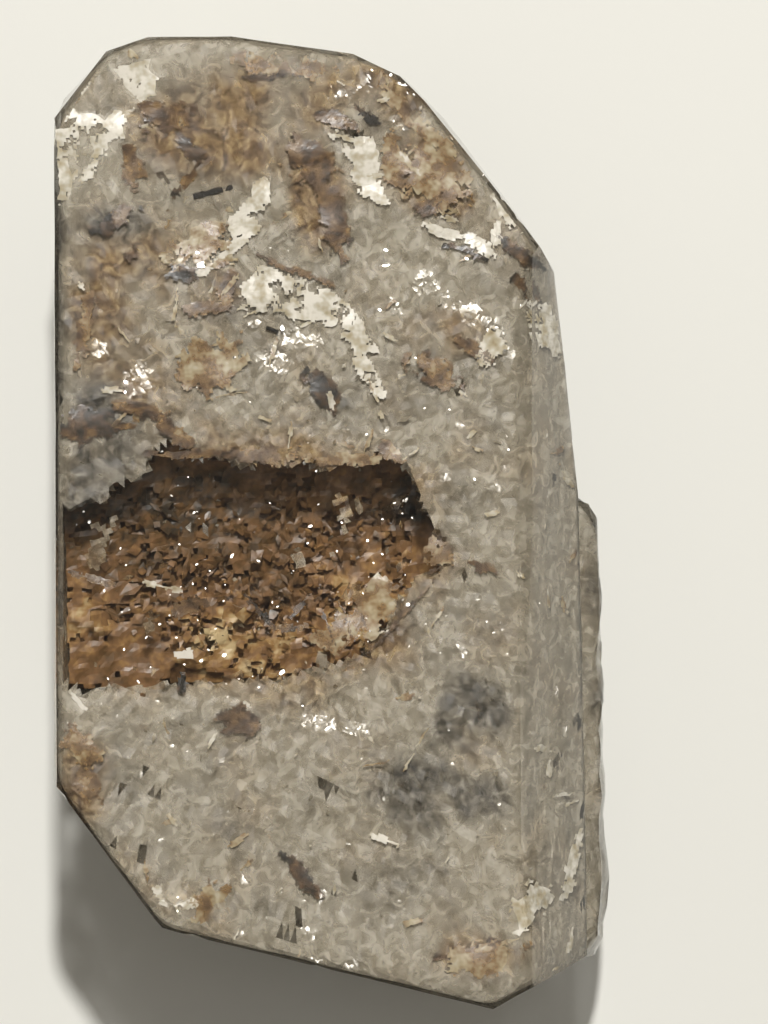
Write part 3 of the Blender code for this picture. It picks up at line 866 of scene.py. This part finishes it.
def slice_evenly(bm, spacing):
    """Cuts every face along planes at even spacing, so that it can be moved in and out smoothly."""
    low, high = (Vector(map(pick, zip(*(v.co for v in bm.verts)))) for pick in (min, max))
    for axis in range(3):
        normal = Vector([float(axis == k) for k in range(3)])
        steps = int((high[axis] - low[axis]) / spacing)
        for index in range(1, steps):
            place = normal * (low[axis] + index * spacing)
            everything = bm.verts[:] + bm.edges[:] + bm.faces[:]
            bmesh.ops.bisect_plane(bm, geom=everything, plane_co=place, plane_no=normal, dist=1e-6)


def build_quartz_body():
    bm = whole_quartz()
    slice_evenly(bm, 0.6 * MM)
    bmesh.ops.remove_doubles(bm, verts=bm.verts, dist=0.1 * MM)
    bm.normal_update()
    for vert in bm.verts:
        if vert.co.z > 0.3 * MM:
            wave = noise.noise(vert.co / (2.6 * MM)) + 0.5 * noise.noise(vert.co / (1.1 * MM))
            vert.co += vert.normal * wave * sizes().surface_wave
    bmesh.ops.triangulate(bm, faces=bm.faces)
    for face in bm.faces:
        face.smooth = True
    mesh = mesh_from("quartz_body", bm)
    mesh.set_sharp_from_angle(angle=math.radians(11))
    body = keep_object("quartz_body", mesh, clear_quartz(), "quartz_crystal")
    # Light reaches the mica straight through the quartz, so the mica alone casts the shadow.
    body.visible_shadow = False
    return body


def mica_place():
    turn = Euler([math.radians(a) for a in MICA_TURN_DEG]).to_matrix().to_4x4()
    return Matrix.Translation(MICA_CENTRE) @ turn


def cut_to_outline(bm, outline, inset):
    """Cuts a flat sheet to a convex outline, moved in by inset."""
    for (x1, y1), (x2, y2) in zip(outline, outline[1:] + outline[:1]):
        outward = Vector((y2 - y1, x1 - x2, 0)).normalized() * -1
        middle = Vector((x1 + x2, y1 + y2, 0)) / 2
        if middle.dot(outward) < 0:
            outward.negate()
        place = middle * MM - outward * inset
        everything = bm.verts[:] + bm.edges[:] + bm.faces[:]
        bmesh.ops.bisect_plane(
            bm, geom=everything, plane_co=place, plane_no=outward, clear_outer=True, dist=1e-7
        )


def ragged_sheet(index, count):
    """One sheet of the book: cut to the outline, then eaten away into lace, and given its thickness."""
    level = (index / max(count - 1, 1) - 0.5) * 3.4 * MM
    seed = Vector((13.7, 5.1, 3.3)) * index
    bm = bmesh.new()
    half = Vector((12.0, 5.6)) * MM
    bmesh.ops.create_grid(bm, x_segments=120, y_segments=56, size=1.0)
    bmesh.ops.scale(bm, verts=bm.verts, vec=(half.x, half.y, 1.0))
    shrink = 0.02 + 0.1 * abs(noise.noise(seed)) + 0.08 * abs(index / count - 0.45)
    cut_to_outline(bm, MICA_OUTLINE, -0.5 * MM)
    holes = []
    for face in bm.faces:
        centre = face.calc_center_median()
        lace = noise.fractal(centre / (1.5 * MM) + seed, 0.8, 2.1, 5)
        if lace > 0.55 - 0.4 * index / count:
            holes.append(face)
    bmesh.ops.delete(bm, geom=holes, context="FACES")
    for vert in bm.verts:
        ripple = noise.noise_vector(vert.co / (2.2 * MM) + seed) * 0.16 * MM
        crumple = noise.noise_vector(vert.co / (0.45 * MM) + seed) * 0.1 * MM
        vert.co += ripple + crumple
        vert.co.z += level
    bmesh.ops.transform(bm, matrix=mica_place(), verts=bm.verts)
    centres = centres_of(bm)
    frayed = centres + (centres - np.array(MICA_CENTRE)) * shrink
    frayed += np.array([noise.noise_vector(Vector(spot) / (0.7 * MM) + seed) for spot in centres]) * 0.35 * MM
    # The left face leans in below its widest line, and the book stops just under it.
    past_face = centres @ np.array(LEFT_OUTWARD) > LEFT_REACH
    drop_faces(bm, past_face | ~in_outline(frayed, BOOK_FROM_ABOVE))
    thicken(bm)
    return bm


def build_mica_sheets():
    count = sizes().sheet_count
    mesh = join_parts("mica_sheets", [ragged_sheet(index, count) for index in range(count)])
    add_values(mesh, "tone", tone_at(points_of(mesh)))
    return keep_object("mica_sheets", mesh, rusty_mica(), "mica_book")


def frayed(points):
    """The points moved about a little, so that an outline tested with them comes out ragged."""
    return points + np.array([noise.noise_vector(Vector(spot) / (0.9 * MM)) for spot in points]) * 0.5 * MM


def in_book(points):
    """Which points lie over or under the book, a little inside its ragged outline."""
    grown = points + (points - np.array(MICA_CENTRE)) * 0.06
    return in_outline(frayed(grown), BOOK_FROM_ABOVE)


def lace_sheet(tree, lean, heading, centre, span, seed, keep):
    """A wavy sheet of haze right through the crystal, eaten into lace and cleared from the windows."""
    cell = sizes().lace_cell
    offset = Vector((7.3, 2.9, 11.1)) * seed
    bm = bmesh.new()
    across, along = (int(length * MM / cell) for length in span)
    bmesh.ops.create_grid(bm, x_segments=across, y_segments=along, size=0.5)
    bmesh.ops.scale(bm, verts=bm.verts, vec=(span[0] * MM, span[1] * MM, 1.0))
    turn = Euler((math.radians(lean), 0, math.radians(heading))).to_matrix().to_4x4()
    place = Matrix.Translation(Vector(centre) * MM) @ turn
    for vert in bm.verts:
        swell = 1.2 * noise.noise(vert.co / (7.0 * MM) + offset) + 0.3 * noise.noise(vert.co / (1.6 * MM) + offset)
        vert.co.z += swell * MM
    bmesh.ops.transform(bm, matrix=place, verts=bm.verts)
    centres = centres_of(bm)
    gone = in_window(centres) | (np.abs(centres[:, 2] - 7 * MM) > 7 * MM)
    gone |= (np.abs(centres[:, 0]) > 11 * MM) | (np.abs(centres[:, 1]) > 19 * MM)
    depths = depths_inside(tree, centres, ~gone)
    gone |= depths < 0.4 * MM
    lace = np.zeros(len(centres))
    lace[~gone] = lace_at(centres[~gone], 2.4, offset)
    drop_faces(bm, gone | (lace < np.where(in_book(centres), 0.7, keep)))
    for vert in bm.verts:
        vert.co += noise.noise_vector(vert.co / (0.23 * MM)) * cell * 0.55
    thicken(bm)
    return bm


def thicken(bm):
    """Gives a sheet its thickness, with a rim all round."""
    bm.normal_update()
    grown = bmesh.ops.extrude_face_region(bm, geom=bm.faces[:], use_keep_orig=True)["geom"]
    for item in grown:
        if isinstance(item, bmesh.types.BMVert):
            item.co += item.normal * SHEET_THICKNESS
    bmesh.ops.recalc_face_normals(bm, faces=bm.faces)


def join_parts(name, parts):
    bm = bmesh.new()
    for part in parts:
        loose = mesh_from("part", part)
        bm.from_mesh(loose)
        bpy.data.meshes.remove(loose)
    return mesh_from(name, bm)


def skin_sheet(tree):
    """Haze that follows the crystal's own faces a little way in, so that it shows from every side."""
    low, high = CAD_BOUNDS
    middle, half = (low + high) / 2, (high - low) / 2
    bm = bmesh.new()
    bmesh.ops.create_icosphere(bm, subdivisions=7, radius=1.0)
    for vert in bm.verts:
        way = (vert.co * half).normalized()
        place, normal = first_hit(tree, middle, way)
        inset = (0.1 + 0.4 * max(normal.z, 0) + 0.05 * noise.noise(place / (2.0 * MM))) * MM
        vert.co = place - way * inset / max(way.dot(normal), 0.4)
    for _ in range(4):
        bmesh.ops.smooth_vert(
            bm, verts=bm.verts, factor=0.5, use_axis_x=True, use_axis_y=True, use_axis_z=True
        )
    bm.normal_update()
    centres = centres_of(bm)
    facing_up = np.array([face.normal.z > 0.8 for face in bm.faces])
    over_book = in_book(centres) & facing_up
    gone = centres[:, 2] < 0.5 * MM
    lace = lace_at(centres, 2.0, Vector((3.1, 8.7, 5.9)))
    drop_faces(bm, gone | (lace < np.where(over_book, 0.8, -0.8)))
    for vert in bm.verts:
        vert.co.z += noise.noise(vert.co / (0.4 * MM)) * 0.12 * MM
    thicken(bm)
    return bm


def build_haze():
    tree = crystal_tree()
    material = stained_haze("pale sericite mica", 0.5, 0.46)
    level_sheets = (
        # lean, heading, centre, span, seed, how much is kept away
        (4, 20, (0, 0, 11.0), (26, 42), 1, -0.6),
        (-6, 70, (0, 0, 8.0), (44, 30), 2, -0.65),
        (8, 150, (0, 0, 5.2), (28, 44), 3, -0.7),
    )
    parts = (
        ("haze_level", [lace_sheet(tree, *row) for row in level_sheets], "mica_veil"),
        ("haze_skin", [skin_sheet(tree)], None),
    )
    for name, sheets, node in parts:
        mesh = join_parts(name, sheets)
        add_stains(mesh)
        keep_object(name, mesh, material, node)


def build_pale_flakes():
    width = sizes().flake_width / MM
    material = stained_haze("pale mica flakes", 0.35, 0.6)
    haze = [Cloud((0, 0, 6.8), (13.5, 24.0, 8.6), 0, 0, sizes().haze_flakes, width, 1.0)]
    mesh = scatter_flakes("pale_flakes", haze, 21, patchy=1.0, over_book=True)
    keep_object("pale_flakes", mesh, material)


def under_surface(tree, x, y, depth):
    """The point that lies this far straight below the crystal's upper side, all in mm."""
    place, _ = first_hit(tree, Vector((x, y, 50)) * MM, Vector((0, 0, -1)))
    return None if place is None else place - Vector((0, 0, depth)) * MM


def lay_under_surface(tree, bm, depth, waviness):
    """Moves flat points down on to a wavy sheet under the surface, and drops those that miss it."""
    missed = []
    for vert in bm.verts:
        place = under_surface(tree, vert.co.x / MM, vert.co.y / MM, depth)
        if place is None or depth_inside(tree, place) < 0.15 * MM:
            missed.append(vert)
        else:
            fray = noise.noise_vector(place / (0.15 * MM)) * 0.06 * MM
            fray.z = 0.0
            vert.co = place + noise.noise_vector(place / (1.3 * MM)) * waviness * MM + fray
    bmesh.ops.delete(bm, geom=missed, context="VERTS")
    thicken(bm)
    return bm


def film_grid(low, high, turn=0.0):
    """A flat grid of fine cells between two corners in mm, turned about its middle."""
    bm = bmesh.new()
    across, along = (max(3, int(length / FILM_CELL)) for length in (high - low))
    bmesh.ops.create_grid(bm, x_segments=across, y_segments=along, size=0.5)
    bmesh.ops.scale(bm, verts=bm.verts, vec=(*(high - low) * MM, 1.0))
    bmesh.ops.rotate(bm, verts=bm.verts, matrix=Matrix.Rotation(math.radians(turn), 3, "Z"))
    bmesh.ops.translate(bm, verts=bm.verts, vec=(*(low + high) / 2 * MM, 0.0))
    return bm


def painted_window_light(tree, outline, depth):
    """A pale sheet that fills a clear window, cut along the window's outline: painted light for the lit paper seen
    through the window.
    """
    bm = film_grid(*(Vector(map(pick, zip(*outline))) for pick in (min, max)))
    centres = centres_of(bm)
    rim = np.array([noise.noise_vector(Vector(spot) / (0.5 * MM)) for spot in centres]) * 0.2 * MM
    holes = lace_at(centres, 0.6, Vector((0, 0, depth))) > 0.3
    drop_faces(bm, holes | ~in_outline(centres + rim, outline))
    return lay_under_surface(tree, bm, depth, 0.2)


def film(tree, x, y, long, wide, turn, depth=0.32):
    """A small film: an oval that frays into lace round its rim, laid under the surface."""
    middle, half = Vector((x, y)), Vector((long, wide))
    bm = film_grid(middle - half * 1.25, middle + half * 1.25, turn)
    centres = centres_of(bm)
    lace = lace_at(centres, 0.55, Vector((x, y, 0)))
    drop_faces(bm, oval_reach(centres, x, y, long, wide, turn) + 0.7 * lace > 1)
    return lay_under_surface(tree, bm, depth, 0.12)


def stray_cracks(tree, count):
    """Short cracks all through the crystal, with their tones: most pale or bright, some dark or rusty."""
    rng = np.random.default_rng(61)
    for _ in range(count):
        x, y = rng.uniform(-10.4, 10.0), rng.uniform(-18.0, 18.4)
        long, wide = rng.uniform(0.15, 0.6), rng.uniform(0.04, 0.11)
        crack = film(tree, x, y, long, wide, rng.uniform(-90, 90), rng.uniform(0.26, 0.8))
        tone = rng.choice((0.42, 0.55, 0.65, 0.7, 0.76, 0.84))
        if crack.faces and not in_outline(np.array([[x * MM, y * MM]]), BOOK_FROM_ABOVE)[0]:
            yield crack, tone


def build_films():
    tree = crystal_tree()
    parts, tones = [], []
    # Each clear window gets a pale sheet at tone 0.9: painted light for the lit paper seen through it.
    for outline in CLEAR_WINDOWS:
        parts.append(painted_window_light(tree, outline, 0.36))
        tones.append(0.9)
    for *shape, tone in FILMS:
        parts.append(film(tree, *shape))
        tones.append(tone)
    for crack, tone in stray_cracks(tree, sizes().stray_cracks):
        parts.append(crack)
        tones.append(tone)
    counts = [len(part.verts) for part in parts]
    mesh = join_parts("films_and_painted_light", parts)
    add_values(mesh, "tone", np.repeat(tones, counts))
    keep_object("films_and_painted_light", mesh, films_and_painted_light())


def build_rods():
    tree = crystal_tree()
    bm = bmesh.new()
    for x, y, length, width, turn in RODS:
        place = under_surface(tree, x, y, 0.35)
        shape = (
            Matrix.Translation(place)
            @ Matrix.Rotation(math.radians(turn), 4, "Z")
            @ Matrix.Rotation(math.radians(90), 4, "Y")
        )
        bmesh.ops.create_cone(
            bm, cap_ends=True, segments=6, radius1=width * MM / 2, radius2=width * MM / 2, depth=length * MM, matrix=shape
        )
    keep_object("dark_rods", mesh_from("dark_rods", bm), dark_rod())


def build_rusty_flakes():
    """Small torn flakes that lie in and on the book."""
    cloud = Cloud((-3.4, -1.7, 7.6), (8.6, 5.0, 2.1), 0, 9, 4500, 0.3, 0.16, 7)
    mesh = scatter_flakes("rusty_flakes", [cloud], 31, windows=False)
    shades = np.empty(len(mesh.vertices), dtype=np.float32)
    mesh.attributes["shade"].data.foreach_get("value", shades)
    add_values(mesh, "tone", tone_at(points_of(mesh)) + 0.16 * (shades - 0.5))
    keep_object("rusty_flakes", mesh, rusty_mica())


def build_bright_flakes():
    tree = crystal_tree()
    clouds = [Cloud((0, 0, 10.0), (12.0, 20.0, 3.0), 0, 0, 600, 0.08, 0.06)]
    for x, y, long, wide, turn, count in GLINTS:
        level = under_surface(tree, x, y, 0.8).z / MM
        clouds.append(Cloud((x, y, level), (long, wide, 0.25), turn, 0, count, 0.17, 0.0))
    mesh = scatter_flakes("bright_flakes", clouds, 51, sides=5, thickness=0.03, windows=False, glint=True)
    add_values(mesh, "tone", np.full(len(mesh.vertices), 0.5))
    keep_object("bright_flakes", mesh, silvery_mica())


def build_floor():
    bm = bmesh.new()
    bmesh.ops.create_grid(bm, x_segments=1, y_segments=1, size=0.6)
    bmesh.ops.translate(bm, verts=bm.verts, vec=(0, 0, -0.05 * MM))
    mesh = mesh_from("floor", bm)
    mesh.materials.append(paper())
    floor = bpy.data.objects.new("floor", mesh)
    bpy.context.scene.collection.objects.link(floor)
    floor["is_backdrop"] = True


def build_light():
    lamp = bpy.data.lights.new("lamp", "AREA")
    lamp.shape = "DISK"
    lamp.size = 0.034
    lamp.energy = 3.2
    lamp.color = (1.0, 0.99, 0.97)
    away = Vector((0.02, 0.50, 0.866)).normalized()
    holder = bpy.data.objects.new("lamp", lamp)
    holder.location = away * 0.6
    holder.rotation_euler = away.to_track_quat("Z", "Y").to_euler()
    # The lamp isn't seen through the quartz, where its image would only be scattered specks.
    holder.visible_camera = False
    holder.visible_transmission = False
    bpy.context.scene.collection.objects.link(holder)
    world = bpy.data.worlds.new("room")
    world.use_nodes = True
    background = world.node_tree.nodes["Background"]
    background.inputs["Color"].default_value = (1.0, 0.94, 0.84, 1.0)
    background.inputs["Strength"].default_value = 0.2
    bpy.context.scene.world = world


def build_camera():
    """Looks straight down, with the frame's height set at a level between the widest line and the top."""
    camera = bpy.data.cameras.new("camera")
    distance, level = 420 * MM, 10.5 * MM
    frame_height = 1024 * 0.03913 * MM
    camera.sensor_fit = "VERTICAL"
    camera.sensor_height = 24.0
    camera.lens = camera.sensor_height * distance / frame_height
    camera.clip_start = 0.01
    holder = bpy.data.objects.new("camera", camera)
    holder.location = Vector((1.957 * MM, 0.411 * MM, level + distance))
    bpy.context.scene.collection.objects.link(holder)
    bpy.context.scene.camera = holder


def set_view():
    scene = bpy.context.scene
    scene.view_settings.view_transform = "Standard"
    scene.cycles.transparent_max_bounces = 16
    scene.cycles.max_bounces = 5
    scene.cycles.diffuse_bounces = 2
    scene.cycles.glossy_bounces = 4
    scene.cycles.transmission_bounces = 4
    scene.cycles.sample_clamp_indirect = 4.0


class BuildQuartz(bpy.types.Operator):
    """Builds the clear crystal from the CAD solid, with its pocket closed and its faces gently waved"""

    bl_idname = "crystal.quartz"
    bl_label = "Clear quartz"

    def execute(self, context):
        build_quartz_body()
        return {"FINISHED"}


class BuildMicaBook(bpy.types.Operator):
    """Builds the book of rusty mica as a stack of ragged sheets"""

    bl_idname = "crystal.mica_book"
    bl_label = "Mica book"

    def execute(self, context):
        build_mica_sheets()
        return {"FINISHED"}


class BuildFlakes(bpy.types.Operator):
    """Scatters the loose mica: pale haze, darker in places, and rusty and bright flakes"""

    bl_idname = "crystal.flakes"
    bl_label = "Loose flakes"

    def execute(self, context):
        build_haze()
        build_films()
        build_rods()
        build_pale_flakes()
        build_rusty_flakes()
        build_bright_flakes()
        return {"FINISHED"}


class BuildStage(bpy.types.Operator):
    """Lays the paper, sets the lamp and the room's light, and points the camera straight down"""

    bl_idname = "crystal.stage"
    bl_label = "Paper, light and camera"

    def execute(self, context):
        build_floor()
        build_light()
        build_camera()
        set_view()
        return {"FINISHED"}


class CrystalPanel(bpy.types.Panel):
    bl_idname = "VIEW3D_PT_mica_crystal"
    bl_label = "Mica Crystal"
    bl_space_type = "VIEW_3D"
    bl_region_type = "UI"
    bl_category = "Mica Crystal"

    def draw(self, context):
        for group in (sizes(), colours()):
            for name in group.bl_rna.properties.keys():
                if name not in {"rna_type", "name"}:
                    self.layout.prop(group, name)
        for operator in OPERATORS:
            self.layout.operator(operator.bl_idname)


OPERATORS = (BuildStage, BuildQuartz, BuildMicaBook, BuildFlakes)
CLASSES = (CrystalSizes, CrystalColours, *OPERATORS, CrystalPanel)


def register():
    for cls in CLASSES:
        bpy.utils.register_class(cls)
    bpy.types.Scene.crystal_sizes = PointerProperty(type=CrystalSizes)
    bpy.types.Scene.crystal_colours = PointerProperty(type=CrystalColours)


def unregister():
    del bpy.types.Scene.crystal_colours
    del bpy.types.Scene.crystal_sizes
    for cls in reversed(CLASSES):
        bpy.utils.unregister_class(cls)


def main():
    register()
    noise.seed_set(NOISE_SEED)
    bpy.ops.crystal.stage()
    bpy.ops.crystal.quartz()
    bpy.ops.crystal.mica_book()
    bpy.ops.crystal.flakes()
    plain = [[list(corner) for corner in bounds] for bounds in (CAD_BOUNDS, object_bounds())]


if __name__ == "__main__":
    main()
